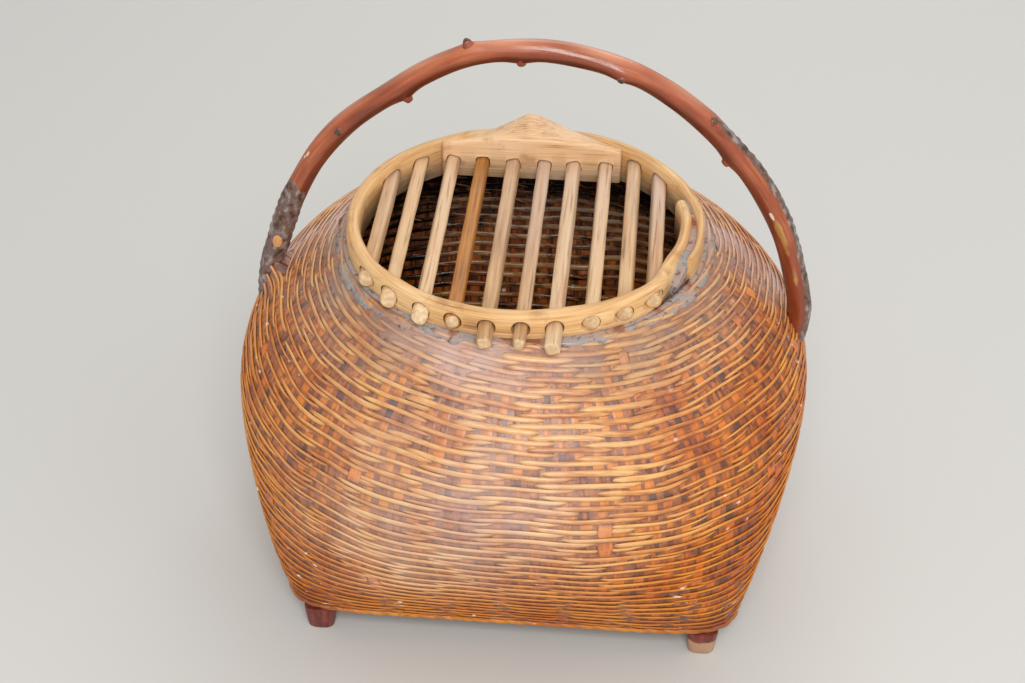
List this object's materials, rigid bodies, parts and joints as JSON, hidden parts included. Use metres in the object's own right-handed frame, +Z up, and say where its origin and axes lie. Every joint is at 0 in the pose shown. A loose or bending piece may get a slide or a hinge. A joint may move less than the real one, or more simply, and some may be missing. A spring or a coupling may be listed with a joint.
{
  "type": "woven basket with barred mouth",
  "caption": "Round-bellied lacquered woven basket on corner feet, with a bent rim strip, a mouth closed by sliding rods and a bent branch handle.",
  "frame": {"origin": "on the ground, under the middle of the basket", "axes": "+Z up, -Y towards the front, from which the rods are drawn out, +X to the right seen from the front"},
  "size_m": [0.347, 0.331, 0.3642],
  "materials": {
    "lacquered_weave": "lacquered bamboo weave",
    "foot_wood": "lacquered and worn",
    "rim_bamboo": "bare bent bamboo",
    "rod_straw": "bare bamboo",
    "rod_amber": "bare bamboo, amber",
    "branch": "polished branch with some bark",
    "peg_wood": "cut end grain"
  },
  "bodies": {
    "basket": {"woven_wall": "lacquered_weave", "woven_floor": "lacquered_weave", "foot_front_left": "foot_wood", "foot_front_right": "foot_wood", "foot_back_left": "foot_wood", "foot_back_right": "foot_wood", "rim_hoop": "rim_bamboo", "back_board": "rim_bamboo", "handle_branch": "branch", "handle_peg": "peg_wood"},
    "rod_01": {"rod_01": "rod_straw"},
    "rod_02": {"rod_02": "rod_straw"},
    "rod_03": {"rod_03": "rod_straw"},
    "rod_04": {"rod_04": "rod_amber"},
    "rod_05": {"rod_05": "rod_straw"},
    "rod_06": {"rod_06": "rod_straw"},
    "rod_07": {"rod_07": "rod_straw"},
    "rod_08": {"rod_08": "rod_straw"},
    "rod_09": {"rod_09": "rod_straw"},
    "rod_10": {"rod_10": "rod_straw"}
  },
  "joints": [
    {"name": "rod_01_slide", "type": "slide", "parent": "basket", "child": "rod_01", "axis": [0, -1, 0], "range_m": [0, 0.1]},
    {"name": "rod_02_slide", "type": "slide", "parent": "basket", "child": "rod_02", "axis": [0, -1, 0], "range_m": [0, 0.135]},
    {"name": "rod_03_slide", "type": "slide", "parent": "basket", "child": "rod_03", "axis": [0, -1, 0], "range_m": [0, 0.15]},
    {"name": "rod_04_slide", "type": "slide", "parent": "basket", "child": "rod_04", "axis": [0, -1, 0], "range_m": [0, 0.155]},
    {"name": "rod_05_slide", "type": "slide", "parent": "basket", "child": "rod_05", "axis": [0, -1, 0], "range_m": [0, 0.16]},
    {"name": "rod_06_slide", "type": "slide", "parent": "basket", "child": "rod_06", "axis": [0, -1, 0], "range_m": [0, 0.16]},
    {"name": "rod_07_slide", "type": "slide", "parent": "basket", "child": "rod_07", "axis": [0, -1, 0], "range_m": [0, 0.16]},
    {"name": "rod_08_slide", "type": "slide", "parent": "basket", "child": "rod_08", "axis": [0, -1, 0], "range_m": [0, 0.15]},
    {"name": "rod_09_slide", "type": "slide", "parent": "basket", "child": "rod_09", "axis": [0, -1, 0], "range_m": [0, 0.14]},
    {"name": "rod_10_slide", "type": "slide", "parent": "basket", "child": "rod_10", "axis": [0, -1, 0], "range_m": [0, 0.115]}
  ]
}
